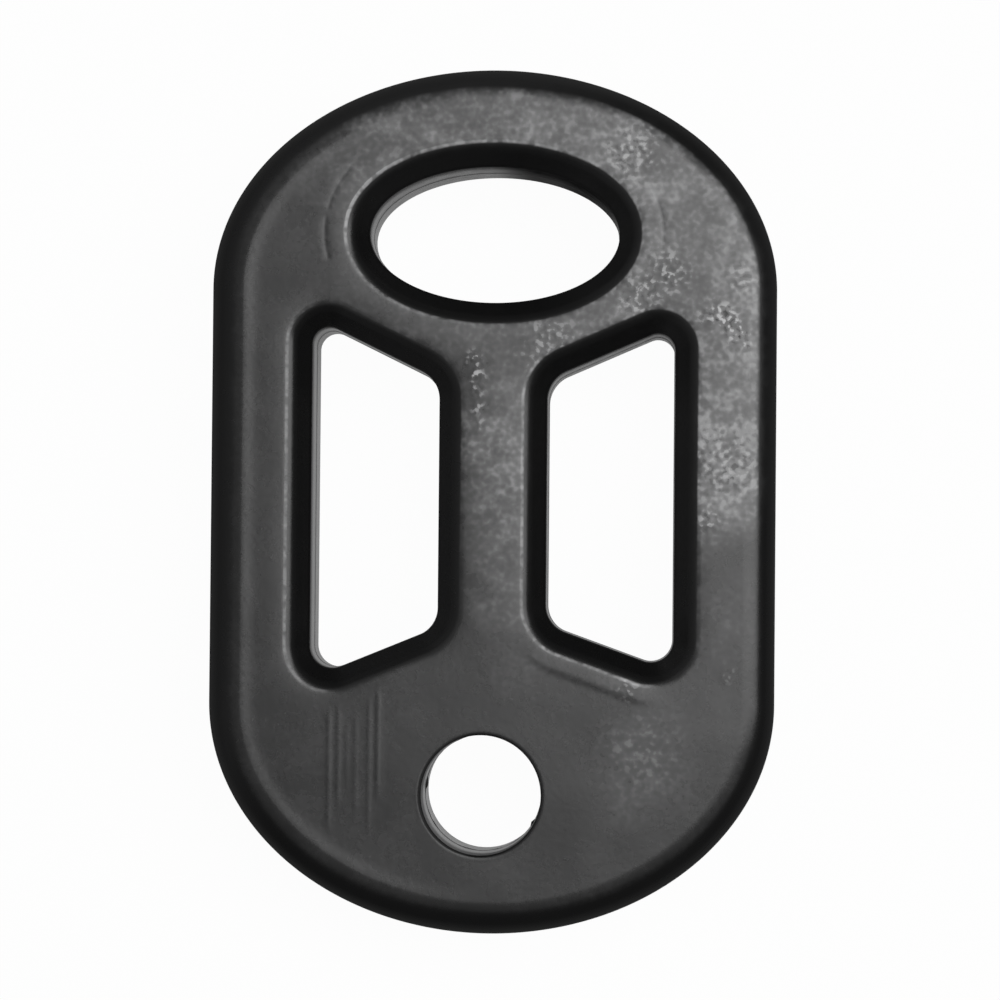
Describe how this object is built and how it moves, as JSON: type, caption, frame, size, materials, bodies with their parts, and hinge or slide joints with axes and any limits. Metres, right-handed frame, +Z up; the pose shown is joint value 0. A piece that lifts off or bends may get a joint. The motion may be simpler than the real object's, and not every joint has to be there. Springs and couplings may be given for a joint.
{
  "type": "exhaust hanger",
  "caption": "Moulded black rubber exhaust hanger: a rounded pad with an oval eye, slanted side windows round a centre bar, and a round bore for a hanger rod.",
  "frame": {"origin": "under the middle of the body, on the plane that the back face lies on", "axes": "+X across the body, +Y along it from the round bore to the oval eye, +Z up through its thickness, out of the front face"},
  "size_m": [0.0524, 0.08, 0.015],
  "materials": {
    "rubber": "matt black moulded rubber with a faint dusty bloom"
  },
  "bodies": {
    "root": {"hanger_body": "rubber"}
  },
  "joints": []
}
